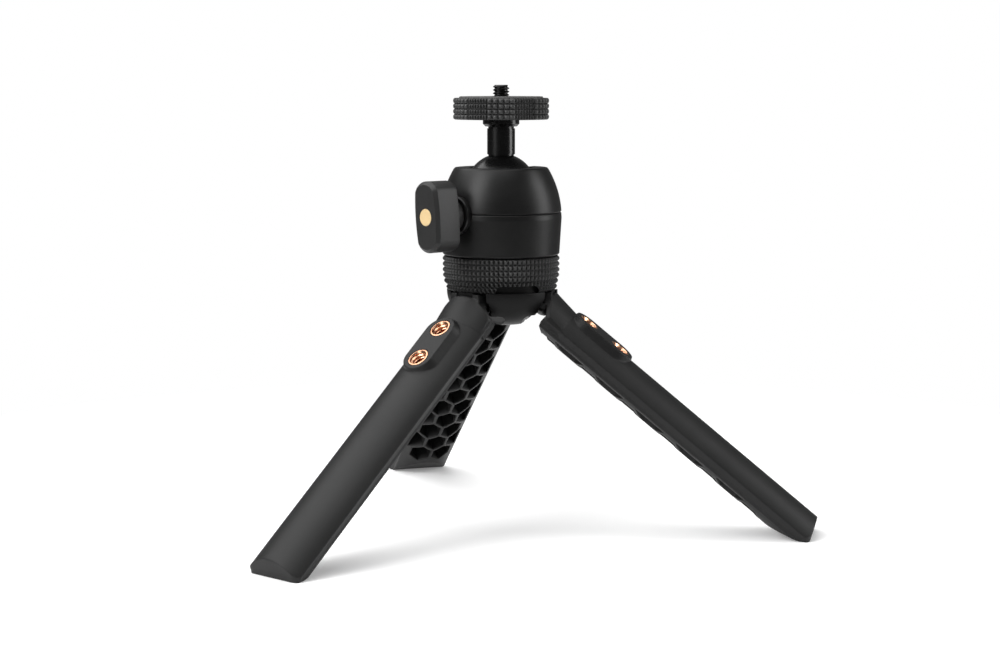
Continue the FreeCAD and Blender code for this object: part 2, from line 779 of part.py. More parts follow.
collar_top = s.shell_foot_height - s.collar_gap
collar_bore = s.hub_radius + s.running_gap
collar = turned("knurled_collar", [
    (collar_bore, s.collar_bottom_height),
    (s.collar_bottom_radius, s.collar_bottom_height),
    (s.collar_top_radius, collar_top - s.collar_straight),
    (s.collar_top_radius, collar_top),
    (collar_bore, collar_top),
])
collar_rows = s.collar_row_count
row_height = (collar_top - s.collar_bottom_height) / collar_rows
for number in range(1, int(value_of(collar_rows))):
    groove_height = collar_top - row_height * number
    taper_drop = max(0.0, value_of(collar_top - s.collar_straight - groove_height))
    taper_share = taper_drop / value_of(collar_top - s.collar_straight - s.collar_bottom_height)
    surface = s.collar_top_radius - (s.collar_top_radius - s.collar_bottom_radius) * taper_share
    ring_groove(collar, groove_height, surface)
arch_half = s.arch_width / 2
arch_outer = s.collar_top_radius + s.overrun
arch_sketch = new_sketch(collar, "XZ_Plane", offset=arch_outer)
arch_top = s.collar_bottom_height + s.arch_height
draw_outline(arch_sketch, [
    (-arch_half, s.collar_bottom_height - s.overrun),
    (arch_half, s.collar_bottom_height - s.overrun),
    (arch_half, arch_top - s.arch_corner),
    (arch_half - s.arch_corner, arch_top),
    (s.arch_corner - arch_half, arch_top),
    (-arch_half, arch_top - s.arch_corner),
], {2: s.arch_corner, 4: s.arch_corner})
arch_cut = extrude(collar, arch_sketch, arch_outer - s.hub_radius * 0.5, "Pocket")
pattern_round(collar, arch_cut, len(LEGS))

# Leg section, shared by the moulding and by the room that the hub leaves for it

def side_outline(body, corners, arcs=None):
    sketch = new_sketch(body, "XZ_Plane")
    draw_outline(sketch, corners, arcs)
    return sketch


def sag(half_width):
    """How far the leg's round outside has dropped below its crown at a distance from the middle."""
    return s.leg_arc_radius - root(s.leg_arc_radius * s.leg_arc_radius - half_width * half_width)


def in_leg(out, up):
    """A point measured outwards and upwards from the hinge, in the leg's own axes."""
    return (out * cosine(s.leg_slope) - up * sine(s.leg_slope), out * sine(s.leg_slope) + up * cosine(s.leg_slope))


def hinge_place(direction, turn=0.0):
    """The leg's frame: X down the leg, Y level, Z out of its crown, at the hinge."""
    out = along(direction)
    spot = out * s.pivot_radius.value + Vector(0, 0, s.pivot_height.value)
    return Placement(spot, Rotation(Vector(0, 0, 1), direction - 90) * Rotation(Vector(0, 1, 0), turn))


# The leg's head end, from the hinge down to its ridge, measured outwards and upwards from the hinge
END_PROFILE = [
    (s.shoulder_reach, 0),
    (s.shoulder_reach, -s.shoulder_drop),
    (s.shoulder_reach * 0.25, -s.shoulder_drop * 1.6),
    (-s.end_throat, -s.end_throat_drop),
    (-s.end_throat * 0.25, -s.end_middle_drop),
    (s.end_ridge_reach, -s.end_ridge_drop),
]


# Room for the legs: what one leg sweeps between open and folded

sweep_width = s.leg_half_width + s.sweep_gap
sweep_arc = s.leg_arc_radius + s.sweep_gap
sweep_crown = s.leg_crown + s.sweep_gap
sweep_side = sweep_crown - (sweep_arc - root(sweep_arc * sweep_arc - sweep_width * sweep_width))


def end_outline(gap):
    """What lies on the hub's side of the leg's end, with a gap, in the leg's own axes."""
    corners = [(s.shoulder_reach, s.beyond), (-s.beyond, s.beyond), (-s.beyond, -s.beyond),
               (s.end_ridge_reach + s.end_foot_reach, -s.beyond)]
    return [in_leg(across - gap, up) for across, up in corners + list(reversed(END_PROFILE))]


def crown_side(half_width):
    return s.leg_crown - sag(half_width)


def folded_profile():
    """The leg's end profile turned down to the folded leg, from its foot upwards."""
    turned_points = []
    for across, up in reversed(END_PROFILE):
        turned_points.append((across * cosine(s.leg_fold) + up * sine(s.leg_fold),
                              up * cosine(s.leg_fold) - across * sine(s.leg_fold)))
    return turned_points


def leg_room(name, direction):
    """The space that one leg sweeps, as separate solids at its hinge."""
    opened = new_body(name + "_open")
    sketch = new_sketch(opened, "YZ_Plane", offset=-s.sweep_depth)
    draw_outline(sketch, [
        (sweep_width, -s.sweep_depth),
        (sweep_width, sweep_side),
        (-sweep_width, sweep_side),
        (-sweep_width, -s.sweep_depth),
    ], {1: sweep_arc})
    extrude(opened, sketch, s.sweep_reach + s.sweep_depth)
    sketch = side_outline(opened, end_outline(s.lobe_gap))
    extrude(opened, sketch, sweep_width * 2 + s.overrun, "Pocket", symmetric=True)
    opened.Placement = hinge_place(direction, s.leg_slope.value)

    folded = new_body(name + "_folded")
    sketch = new_sketch(folded, "XY_Plane", offset=-s.sweep_reach)
    draw_outline(sketch, [
        (s.beyond, -sweep_width),
        (s.beyond, sweep_width),
        (crown_side(s.leg_half_width) - s.sweep_gap, sweep_width),
        (s.leg_crown - s.rim_top_drop - s.sweep_gap, s.rim_half_width + s.sweep_gap),
        (s.leg_crown - s.rim_bottom_drop - s.sweep_gap, s.rim_half_width + s.sweep_gap),
        (s.leg_crown - s.rim_bottom_drop - s.sweep_gap, -s.rim_half_width - s.sweep_gap),
        (s.leg_crown - s.rim_top_drop - s.sweep_gap, -s.rim_half_width - s.sweep_gap),
        (crown_side(s.leg_half_width) - s.sweep_gap, -sweep_width),
    ], {4: bow_radius(s.rim_half_width + s.sweep_gap, s.ridge_drop - s.rim_bottom_drop)})
    extrude(folded, sketch, s.sweep_reach + s.sweep_gap)
    sketch = new_sketch(folded, "XZ_Plane")
    draw_outline(sketch, [
        (s.shoulder_reach, s.sweep_gap + s.overrun),
        (-s.sweep_depth, s.sweep_gap + s.overrun),
        (-s.sweep_depth, -s.sweep_depth),
    ] + [(across, up + s.sweep_gap) for across, up in folded_profile()])
    extrude(folded, sketch, sweep_width * 2 + s.overrun, "Pocket", symmetric=True)
    folded.Placement = hinge_place(direction)

    barrel = new_body(name + "_barrel")
    ear_width = s.ear_half_width + s.sweep_gap
    ear_crown = sweep_crown + s.running_gap
    ear_side = ear_crown - (sweep_arc - root(sweep_arc * sweep_arc - ear_width * ear_width))
    sketch = new_sketch(barrel, "XY_Plane")
    draw_outline(sketch, [
        (0, -ear_width),
        (ear_side, -ear_width),
        (ear_side, ear_width),
        (0, ear_width),
    ], {1: sweep_arc})
    revolve(barrel, sketch)
    barrel.Placement = hinge_place(direction)

    cheeks = new_body(name + "_cheeks")
    width = (s.cheek_half_width + s.sweep_gap) * 2
    height = s.ear_radius + s.sweep_gap + s.running_gap * 2
    reach = root(s.cheek_reach * s.cheek_reach + s.ear_radius * s.ear_radius) + s.sweep_gap
    sketch = new_sketch(cheeks, "XZ_Plane")
    draw_outline(sketch, [
        (0, height),
        (-height, 0),
        (0, -reach),
        (reach, 0),
        (reach, height),
    ], {0: height, 2: reach})
    extrude(cheeks, sketch, width, symmetric=True)
    cheeks.Placement = hinge_place(direction)
    return [opened, folded, barrel, cheeks]


def fuse(name, parts):
    union = doc.addObject("Part::MultiFuse", name)
    union.Label = name
    union.Shapes = parts
    return union


# Hub: plate, three lobes between the legs, a lug for each leg and the column round the base screw

bowl_centre = s.lobe_radius - s.lobe_bowl_radius
hub_bowl = turned("hub_bowl", [
    (0, s.hub_floor_height - s.lobe_bowl_radius),
    (bowl_centre, s.hub_floor_height - s.lobe_bowl_radius),
    (s.lobe_radius, s.hub_floor_height),
    (0, s.hub_floor_height),
], {1: s.lobe_bowl_radius})

# Each lobe's underside is also rounded from side to side
lobe_foot = s.hub_floor_height - s.lobe_bowl_radius
lobe_outer = s.lobe_radius + s.overrun
cross_half = s.lobe_cross_radius * 0.95
cross_height = lobe_foot + s.lobe_cross_radius - root(s.lobe_cross_radius * s.lobe_cross_radius
                                                      - cross_half * cross_half)
cross_sketch = new_sketch(hub_bowl, "XZ_Plane", offset=lobe_outer)
draw_outline(cross_sketch, [
    (-cross_half, lobe_foot - s.overrun),
    (cross_half, lobe_foot - s.overrun),
    (cross_half, cross_height),
    (-cross_half, cross_height),
], {2: -s.lobe_cross_radius})
cross_cut = extrude(hub_bowl, cross_sketch, lobe_outer - s.column_radius, "Pocket")
pattern_round(hub_bowl, cross_cut, len(LEGS))

hub_cut = hub_bowl
for leg, direction in LEGS:
    for room in leg_room("room_" + leg, direction):
        step = doc.addObject("Part::Cut", room.Name + "_cut")
        step.Base = hub_cut
        step.Tool = room
        hub_cut = step

lugs = []
for leg, direction in LEGS:
    lug = new_body("lug_" + leg)
    sketch = new_sketch(lug, "XZ_Plane")
    floor_rise = s.hub_floor_height - s.pivot_height
    root_reach = s.hub_radius - s.pivot_radius - s.lug_root
    shoulder = s.lug_radius * 0.6
    draw_outline(sketch, [
        (-s.lug_radius, 0),
        (s.lug_radius, 0),
        (shoulder, root(s.lug_radius * s.lug_radius - shoulder * shoulder)),
        (s.lug_reach, s.lug_reach + s.lug_shoulder),
        (s.lug_reach, floor_rise),
        (root_reach, floor_rise),
        (root_reach, floor_rise + s.lug_root),
        (-s.lug_back_reach, floor_rise + s.lug_root),
        (-s.lug_back_reach, s.lug_back_height),
    ], {0: s.lug_radius, 1: s.lug_radius})
    extrude(lug, sketch, s.lug_half_width * 2, symmetric=True)
    sketch = new_sketch(lug, "XZ_Plane")
    draw_circle(sketch, 0, 0, s.pin_radius)
    extrude(lug, sketch, (s.lug_half_width + s.overrun) * 2, "Pocket", symmetric=True)
    lug.Placement = hinge_place(direction)
    lugs.append(lug)

column = turned("hub_column", [
    (0, s.column_foot_height),
    (s.column_radius - s.boss_chamfer, s.column_foot_height),
    (s.column_radius, s.column_foot_height + s.boss_chamfer),
    (s.column_radius, s.hub_floor_height),
    (s.hub_radius, s.hub_floor_height),
    (s.hub_radius, s.shell_foot_height),
    (0, s.shell_foot_height),
])
head_foot = s.column_foot_height + s.base_screw_recess
head_top = head_foot + s.base_screw_head_height
washer_top = head_top + s.washer_thickness
shank_hole = s.base_screw_radius + s.screw_hole_gap
head_hole = s.base_screw_head_radius + s.screw_hole_gap
screw_bore = turned("hub_bore", [
    (0, s.column_foot_height - s.overrun),
    (head_hole, s.column_foot_height - s.overrun),
    (head_hole, washer_top),
    (shank_hole, washer_top),
    (shank_hole, s.shell_foot_height + s.overrun),
    (0, s.shell_foot_height + s.overrun),
])
hub = doc.addObject("Part::Cut", "hub")
hub.Label = "hub"
hub.Base = fuse("hub_solid", [hub_cut, column] + lugs)
hub.Tool = screw_bore

base_screw = turned("base_screw", [
    (0, head_foot + s.socket_depth),
    (s.socket_radius, head_foot + s.socket_depth),
    (s.socket_radius, head_foot),
    (s.base_screw_head_radius - s.boss_chamfer, head_foot),
    (s.base_screw_head_radius, head_foot + s.boss_chamfer),
    (s.base_screw_head_radius, head_top),
    (s.base_screw_radius, head_top),
    (s.base_screw_radius, s.base_screw_top - s.boss_chamfer),
    (s.base_screw_radius - s.boss_chamfer, s.base_screw_top),
    (0, s.base_screw_top),
])
base_washer = turned("base_washer", [
    (shank_hole, head_top),
    (s.base_screw_head_radius, head_top),
    (s.base_screw_head_radius, washer_top),
    (shank_hole, washer_top),
])


# Legs

def from_hinge(reach, height):
    """A point given by its distance from the head's axis and its height, in the leg's own axes."""
    return in_leg(reach - s.pivot_radius, height - s.pivot_height)


def make_leg(name, direction):
    leg = new_body(name)
    crown = s.leg_crown
    side = crown - sag(s.leg_half_width)
    rim_top = crown - s.rim_top_drop
    rim_bottom = crown - s.rim_bottom_drop
    inner_arc = bow_radius(s.rim_half_width, s.ridge_drop - s.rim_bottom_drop)
    section = new_sketch(leg, "YZ_Plane")
    draw_outline(section, [
        (s.leg_half_width, side),
        (-s.leg_half_width, side),
        (-s.rim_half_width, rim_top),
        (-s.rim_half_width, rim_bottom),
        (s.rim_half_width, rim_bottom),
        (s.rim_half_width, rim_top),
    ], {0: s.leg_arc_radius, 3: inner_arc})
    extrude(leg, section, s.leg_length)

    # The round back rises a little towards the collar
    flare = []
    for reach, rise in ((s.flare_start, s.flare_rise), (s.flare_end, s.flare_end_rise)):
        flare_section = new_sketch(leg, "YZ_Plane", offset=reach)
        flare_side = crown_side(s.flare_half_width) + rise
        draw_outline(flare_section, [
            (s.flare_half_width, rim_top),
            (s.flare_half_width, flare_side),
            (-s.flare_half_width, flare_side),
            (-s.flare_half_width, rim_top),
        ], {1: s.leg_arc_radius})
        flare.append(flare_section)
    loft = leg.newObject("PartDesign::AdditiveLoft", name + "_flare")
    loft.Profile = flare[0]
    loft.Sections = [flare[1]]
    loft.Ruled = True

    # The head end stops short of the hub's lobes
    shoulder = side_outline(leg, end_outline(0))
    extrude(leg, shoulder, (s.leg_half_width + s.overrun) * 2, "Pocket", symmetric=True)

    # Two ears and their cheeks round the hinge pin
    ear_side = crown - sag(s.ear_half_width)
    barrel = new_sketch(leg, "XY_Plane")
    draw_outline(barrel, [
        (0, -s.ear_half_width),
        (ear_side, -s.ear_half_width),
        (ear_side, s.ear_half_width),
        (0, s.ear_half_width),
    ], {1: s.leg_arc_radius})
    revolve(leg, barrel)
    cheek = side_outline(leg, [
        in_leg(0, 0),
        in_leg(s.cheek_reach, 0),
        in_leg(s.cheek_reach, s.ear_radius),
        in_leg(0, s.ear_radius),
        in_leg(-s.ear_radius, 0),
    ], {3: s.ear_radius})
    extrude(leg, cheek, s.cheek_half_width * 2, symmetric=True)

    # The head end narrows upwards between the lobes
    for hand in (1, -1):
        outline = new_sketch(leg, "YZ_Plane", lean=-s.leg_slope)
        draw_outline(outline, [
            (s.tongue_foot_width * hand, -s.tongue_foot_drop),
            (s.tongue_neck_width * hand, s.tongue_neck_rise),
            (s.tongue_top_width * hand, s.ear_radius + s.overrun),
            (s.beyond * hand, s.ear_radius + s.overrun),
            (s.beyond * hand, -s.tongue_foot_drop),
        ], {0: s.tongue_round * hand})
        extrude(leg, outline, s.leg_half_width * 2, "Pocket", symmetric=True)

    # Raised seat for the two threaded inserts
    seat_top = crown + s.pad_seat_rise
    seat = new_sketch(leg, "XY_Plane", offset=seat_top)
    seat_first = s.pad_seat_start + s.pad_seat_half_width
    seat_last = s.pad_seat_end - s.pad_seat_half_width
    draw_outline(seat, [
        (seat_first, s.pad_seat_half_width),
        (seat_first, -s.pad_seat_half_width),
        (seat_last, -s.pad_seat_half_width),
        (seat_last, s.pad_seat_half_width),
    ], {0: s.pad_seat_half_width, 2: s.pad_seat_half_width})
    raised = extrude(leg, seat, s.insert_length, backwards=True)
    raised.TaperAngle = s.pad_seat_taper.value
    raised.setExpression("TaperAngle", s.pad_seat_taper.words)

    # End facet, sole and ground
    lean = s.end_facet_lean
    foot_reach = s.end_facet_top_reach - s.end_facet_top_height * sine(lean) / cosine(lean)
    facet_foot = from_hinge(foot_reach, 0)
    facet = side_outline(leg, [
        facet_foot,
        from_hinge(s.end_facet_top_reach, s.end_facet_top_height),
        from_hinge(s.end_facet_top_reach + s.overrun, s.end_facet_top_height + s.overrun * 3),
        from_hinge(s.end_facet_top_reach + s.beyond, s.end_facet_top_height + s.overrun * 3),
        from_hinge(s.end_facet_top_reach + s.beyond, -s.beyond),
        from_hinge(s.sole_start_reach - s.overrun * 4, -s.beyond),
        from_hinge(s.sole_start_reach, s.sole_start_height),
        from_hinge(s.sole_end_reach, 0),
    ])
    extrude(leg, facet, (s.leg_half_width + s.overrun) * 2, "Pocket", symmetric=True)

    # The facet's two corners are rounded, seen along the facet
    tilt = lean - s.leg_slope
    facet_line = facet_foot[0] * cosine(tilt) - facet_foot[1] * sine(tilt)
    past = facet_line + s.foot_round
    for hand in (1, -1):
        corner = new_sketch(leg, "XY_Plane", turn=tilt)
        draw_outline(corner, [
            (facet_line - s.foot_round, s.leg_half_width * hand),
            (facet_line, (s.leg_half_width - s.foot_round) * hand),
            (past, (s.leg_half_width - s.foot_round) * hand),
            (past, (s.leg_half_width + s.foot_round) * hand),
            (facet_line - s.foot_round, (s.leg_half_width + s.foot_round) * hand),
        ], {0: s.foot_round * -hand})
        extrude(leg, corner, s.leg_length, "Pocket", symmetric=True)

    # Honeycomb cells, open on the inner face
    half_cell = s.cell_pitch / 3 - s.cell_rib / (2 * cosine(30))
    cell_corner = half_cell / 2
    cell_rise = s.cell_row - s.cell_rib / 2
    ceiling = crown - s.cell_ceiling_drop

    def draw_cell(sketch, middle, across):
        draw_outline(sketch, [
            (middle + half_cell, across),
            (middle + cell_corner, across + cell_rise),
            (middle - cell_corner, across + cell_rise),
            (middle - half_cell, across),
            (middle - cell_corner, across - cell_rise),
            (middle + cell_corner, across - cell_rise),
        ])

    def draw_edge_cell(sketch, middle, hand):
        foot = (s.cell_row * 2 - cell_rise) * hand
        edge = s.cell_edge * hand
        spread = cell_corner + (half_cell - cell_corner) * (s.cell_edge - s.cell_row * 2 + cell_rise) / cell_rise
        draw_outline(sketch, [
            (middle - cell_corner, foot),
            (middle + cell_corner, foot),
            (middle + spread, edge),
            (middle - spread, edge),
        ])

    first_cells = new_sketch(leg, "XY_Plane", offset=ceiling)
    draw_cell(first_cells, s.cell_first, 0)
    draw_edge_cell(first_cells, s.cell_first, 1)
    draw_edge_cell(first_cells, s.cell_first, -1)
    cut = extrude(leg, first_cells, s.ridge_drop, "Pocket")
    pattern_along(leg, cut, s.cell_columns, s.cell_pitch)
    second_cells = new_sketch(leg, "XY_Plane", offset=ceiling)
    middle = s.cell_first - s.cell_pitch / 2
    draw_cell(second_cells, middle, s.cell_row)
    draw_cell(second_cells, middle, -s.cell_row)
    cut = extrude(leg, second_cells, s.ridge_drop, "Pocket")
    pattern_along(leg, cut, s.cell_columns + 1, s.cell_pitch)

    # Clevis slot, pin hole and the holes for the inserts
    slot_round = s.lug_radius + s.lug_round_gap
    slot_up = root(slot_round * slot_round - s.lug_slot_reach * s.lug_slot_reach)
    slot_cut = side_outline(leg, [
        (s.lug_slot_reach, -slot_up),
        (slot_round, 0),
        (s.lug_slot_reach, slot_up),
        (s.lug_slot_reach, s.beyond),
        (-s.beyond, s.beyond),
        (-s.beyond, -s.beyond),
        (s.lug_slot_reach, -s.beyond),
    ], {0: slot_round, 1: slot_round})
    extrude(leg, slot_cut, (s.lug_half_width + s.lug_side_gap) * 2, "Pocket", symmetric=True)
    pin_hole = new_sketch(leg, "XZ_Plane")
    draw_circle(pin_hole, 0, 0, s.pin_radius + s.running_gap)
    extrude(leg, pin_hole, (s.ear_half_width + s.overrun) * 2, "Pocket", symmetric=True)
    insert_holes = new_sketch(leg, "XY_Plane", offset=seat_top)
    draw_circle(insert_holes, s.insert_first, 0, s.insert_radius)
    draw_circle(insert_holes, s.insert_first + s.insert_spacing, 0, s.insert_radius)
    extrude(leg, insert_holes, s.insert_length, "Pocket")
    leg.Placement = hinge_place(direction, s.leg_slope.value)
    return leg


def make_insert(name, direction, reach):
    """A threaded insert in the leg's raised seat."""
    top = s.leg_crown + s.pad_seat_rise
    insert = turned(name, [
        (s.insert_bore_radius, top - s.insert_length),
        (s.insert_radius, top - s.insert_length),
        (s.insert_radius, top),
        (s.insert_bore_radius + s.insert_chamfer, top),
        (s.insert_bore_radius, top - s.insert_chamfer),
    ])
    insert.Placement = hinge_place(direction, s.leg_slope.value) * Placement(Vector(reach.value, 0, 0), Rotation())
    return insert


def make_pin(name, direction):
    pin = turned(name, [
        (0, -s.pin_half_length),
        (s.pin_radius, -s.pin_half_length),
        (s.pin_radius, s.pin_half_length),
        (0, s.pin_half_length),
    ])
    pin.Placement = hinge_place(direction) * Placement(Vector(0, 0, 0), Rotation(Vector(1, 0, 0), 90))
    return pin


legs = []
inserts = []
pins = []
for leg, direction in LEGS:
    legs.append(make_leg("leg_" + leg, direction))
    inserts.append(make_insert("insert_upper_" + leg, direction, s.insert_first))
    inserts.append(make_insert("insert_lower_" + leg, direction, s.insert_first + s.insert_spacing))
    pins.append(make_pin("hinge_pin_" + leg, direction))

doc.recompute()

# Checks, then one file for each piece

kept = [camera_screw, clamp_wheel, wheel_pad, stem, ball, head_cap, head_body, ball_seat, brake_pad, lock_screw,
        lock_boss, knob_grip, knob_inlay, collar, hub, base_screw, base_washer] + legs + inserts + pins

faults = []
for item in doc.Objects:
    if "Invalid" in item.State or "Error" in item.State:
        faults.append(item.Name + ": " + ", ".join(item.State) + " " + item.getStatusString())
for item in kept:
    if item.Shape.isNull() or not item.Shape.isValid():
        faults.append(item.Name + ": no valid shape")
    elif len(item.Shape.Solids) != 1:
        faults.append(item.Name + ": %d solids" % len(item.Shape.Solids))
if faults:
    raise RuntimeError("; ".join(faults))

os.makedirs("parts", exist_ok=True)
for item in kept:
    item.Shape.exportStep(os.path.join("parts", item.Label + ".step"))
    print("%-22s %9.1f mm3" % (item.Label, item.Shape.Volume))
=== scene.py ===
import math

import bmesh
import bpy
from mathutils import Matrix, Vector


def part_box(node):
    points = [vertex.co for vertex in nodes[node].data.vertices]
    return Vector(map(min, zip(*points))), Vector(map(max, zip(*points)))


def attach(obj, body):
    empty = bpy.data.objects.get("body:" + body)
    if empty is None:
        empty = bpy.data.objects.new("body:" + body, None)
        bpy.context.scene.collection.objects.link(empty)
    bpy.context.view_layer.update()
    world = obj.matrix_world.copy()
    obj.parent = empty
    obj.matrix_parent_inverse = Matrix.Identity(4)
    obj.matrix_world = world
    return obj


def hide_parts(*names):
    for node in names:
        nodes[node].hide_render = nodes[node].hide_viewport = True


# Mini tripod with a ball head: three folding legs under a knurled collar, and a clamp wheel on top.
# Metres, with the ground at z = 0, the head's axis at x = y = 0 and the rear leg along +Y.

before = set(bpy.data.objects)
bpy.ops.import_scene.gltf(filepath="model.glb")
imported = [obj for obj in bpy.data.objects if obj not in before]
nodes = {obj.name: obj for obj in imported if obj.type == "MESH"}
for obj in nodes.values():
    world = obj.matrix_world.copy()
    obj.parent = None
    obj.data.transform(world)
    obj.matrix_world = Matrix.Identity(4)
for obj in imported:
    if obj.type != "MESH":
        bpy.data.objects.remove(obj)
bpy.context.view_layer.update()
scene = bpy.context.scene
mm = 0.001


# Hub
# The three legs hinge on this casting of black anodised aluminium. Its rounded lobes fill the gaps
# between the legs, and its satin skin comes from bead blasting before the anodising.

class Finish:
    """A value in a finish. Sums on it add Math nodes, and node() adds any other kind."""

    def __init__(self, tree, socket=None):
        self.tree = tree
        self.socket = socket

    def node(self, kind, settings, inputs, output=0):
        made = self.tree.nodes.new("ShaderNode" + kind)
        for name, value in settings.items():
            setattr(made, name, value)
        for name, value in inputs.items():
            if isinstance(value, Finish):
                self.tree.links.new(value.socket, made.inputs[name])
            else:
                made.inputs[name].default_value = value
        return Finish(self.tree, made.outputs[output])

    def maths(self, operation, first, second, clamped=False):
        settings = {"operation": operation, "use_clamp": clamped}
        return self.node("Math", settings, {0: first, 1: second})

    def __add__(self, other):
        return self.maths("ADD", self, other)

    __radd__ = __add__

    def __sub__(self, other):
        return self.maths("SUBTRACT", self, other)

    def __rsub__(self, other):
        return self.maths("SUBTRACT", other, self)

    def __mul__(self, other):
        return self.maths("MULTIPLY", self, other)

    __rmul__ = __mul__

    def share(self, low, high):
        """0 where the value is at low, 1 where it is at high, and held there beyond."""
        return self.maths("MULTIPLY", self - low, 1 / (high - low), clamped=True)

    def tint(self, low, high):
        """A colour between low and high, by the value."""
        mixed = {0: self, 6: low, 7: high}
        return self.node("Mix", {"data_type": "RGBA"}, mixed, output=2)


def grey(level, warmth=0.0):
    return (level * (1 + warmth), level, level * (1 - warmth), 1.0)


def new_finish(name):
    """A new material, and the place on the piece that its patterns are laid out by."""
    material = bpy.data.materials.new(name)
    material.use_nodes = True
    place = Finish(material.node_tree).node("TexCoord", {}, {}, "Object")
    return material, place


def set_shader(material, values):
    tree = material.node_tree
    shader = tree.nodes["Principled BSDF"]
    for name, value in values.items():
        if isinstance(value, Finish):
            tree.links.new(value.socket, shader.inputs[name])
        else:
            shader.inputs[name].default_value = value


def dress(node, material):
    """Gives a CAD node its finish."""
    mesh = nodes[node].data
    mesh.materials.clear()
    mesh.materials.append(material)


def blasted_black(name, dark, light, roughness, shine=0.26, turned=0.0):
    """Metal blasted to a fine skin and blackened, with faint clouds. If turned, it has level lines."""
    material, place = new_finish(name)
    cloud = place.node("TexNoise", {}, {"Vector": place, "Scale": 60.0, "Detail": 5.0})
    height = place.node("TexNoise", {}, {"Vector": place, "Scale": 3600.0, "Detail": 2.0})
    shade = cloud.share(0.35, 0.65)
    if turned:
        level = place.node("Mapping", {}, {"Vector": place, "Scale": (0.03, 0.03, 1.0)})
        lines = place.node("TexNoise", {}, {"Vector": level, "Scale": 2400.0, "Detail": 3.0})
        height += lines * (turned * 3)
        shade += (lines - 0.5) * (turned * 2)
    edge = place.node("Bevel", {"samples": 6}, {"Radius": 0.25 * mm})
    skin = place.node("Bump", {}, {
        "Strength": 0.22, "Distance": 0.02 * mm, "Height": height, "Normal": edge})
    set_shader(material, {
        "Base Color": shade.tint(grey(dark), grey(light)),
        "Roughness": roughness + (cloud - 0.5) * 0.16,
        "Specular IOR Level": shine,
        "Normal": skin,
    })
    return material


dress("hub", blasted_black("satin_black", 0.004, 0.006, 0.42, shine=0.15))


# Base screw, washer and hinge pins
# A socket screw runs up the hub's middle into the head, over a washer, and each leg turns on a
# pressed-in pin. All are machine steel with fine turning marks. The pins are blackened.

ROUND_MARKS = (0.08, 0.08, 1.0)
LENGTHWAYS_MARKS = (1.0, 1.0, 0.2)


def turned_steel(name, level, roughness, marks):
    material, place = new_finish(name)
    cloud = place.node("TexNoise", {}, {"Vector": place, "Scale": 220.0, "Detail": 4.0})
    stretched = place.node("Mapping", {}, {"Vector": place, "Scale": marks})
    turning = place.node("TexNoise", {}, {"Vector": stretched, "Scale": 900.0, "Detail": 2.0})
    skin = place.node("Bump", {}, {"Strength": 0.2, "Distance": 0.02 * mm, "Height": turning})
    set_shader(material, {
        "Base Color": cloud.share(0.3, 0.7).tint(grey(level * 0.75), grey(level)),
        "Roughness": roughness + (turning - 0.5) * 0.2,
        "Metallic": 1.0,
        "Normal": skin,
    })
    return material


steel = turned_steel("plain_steel", 0.36, 0.34, ROUND_MARKS)
for node in ("base_screw", "base_washer"):
    dress(node, steel)
black_steel = turned_steel("black_steel", 0.05, 0.34, LENGTHWAYS_MARKS)
for node in ("hinge_pin_left", "hinge_pin_right", "hinge_pin_rear"):
    dress(node, black_steel)


# Knurled collar
# A turned aluminium ring between the head and the legs. Straight teeth are rolled into it, ring
# grooves part them into six rows, and an arch is milled over each of the hub's lobes.

COLLAR_BORE = 19.65 * mm
COLLAR_TOP_RADIUS = 22.7 * mm
COLLAR_FOOT_RADIUS = 21.5 * mm
COLLAR_STRAIGHT = 7.0 * mm
COLLAR_TEETH = 78
COLLAR_ROWS = 6
TOOTH_DEPTH = 0.8 * mm
TOOTH_STEPS = 9
ROW_STEPS = 8
ARCH_WIDTH = 17.6 * mm
ARCH_HEIGHT = 2.9 * mm
ARCH_SHOULDER = 2.4 * mm
ARCH_REACH = 22 * mm
MILL_DEPTH = 14 * mm
MILL_HEIGHT = 8 * mm


def knurled_black(name, valley, crest, low, high):
    """Blackened aluminium, lighter towards its tooth crests from radius low to high: part wear, part
    painted highlight.
    """
    material, place = new_finish(name)
    flat = place.node("VectorMath", {"operation": "MULTIPLY"}, {0: place, 1: (1.0, 1.0, 0.0)})
    radius = place.node("VectorMath", {"operation": "LENGTH"}, {0: flat}, "Value")
    cloud = place.node("TexNoise", {}, {"Vector": place, "Scale": 900.0, "Detail": 3.0})
    # Lighter towards the crests: partly rubbed wear and partly a painted highlight. The grooves stay
    # near black.
    crest_wear_and_highlight = (radius + (cloud - 0.5) * 0.25 * mm).share(low, high)
    grain = place.node("Bump", {}, {"Strength": 0.3, "Distance": 0.03 * mm, "Height": cloud})
    set_shader(material, {
        "Base Color": crest_wear_and_highlight.tint(grey(valley), grey(crest)),
        "Roughness": 0.5 - crest_wear_and_highlight * 0.12,
        "Specular IOR Level": 0.35,
        "Normal": grain,
    })
    return material


def lathe(points, steps):
    """A closed outline of (radius, height) points, turned all the way round."""
    shape = bmesh.new()
    ring = [shape.verts.new((radius, 0, height)) for radius, height in points]
    edges = [shape.edges.new((a, b)) for a, b in zip(ring, ring[1:] + ring[:1])]
    bmesh.ops.spin(shape, geom=ring + edges, cent=(0, 0, 0), axis=(0, 0, 1), angle=2 * math.pi,
                   steps=steps, use_merge=True)
    bmesh.ops.recalc_face_normals(shape, faces=shape.faces)
    return shape


def rim_heights(low, high, rows):
    """Heights from low to high, close enough to shape each row of teeth."""
    steps = rows * ROW_STEPS
    return [low + (high - low) * step / steps for step in range(steps + 1)]


def reach_of(vertex):
    """A vertex's distance from the Z axis."""
    return math.hypot(vertex.co.x, vertex.co.y)


def set_reach(vertex, reach):
    """Moves a vertex level, to a distance from the Z axis."""
    share = reach / reach_of(vertex)
    vertex.co.x *= share
    vertex.co.y *= share


def peak(phase):
    """The rise across one tooth: 0 in its grooves, straight flanks, and 1 on its narrow crest."""
    return min(1.0, 1.25 * (1 - abs(2 * (phase % 1.0) - 1)))


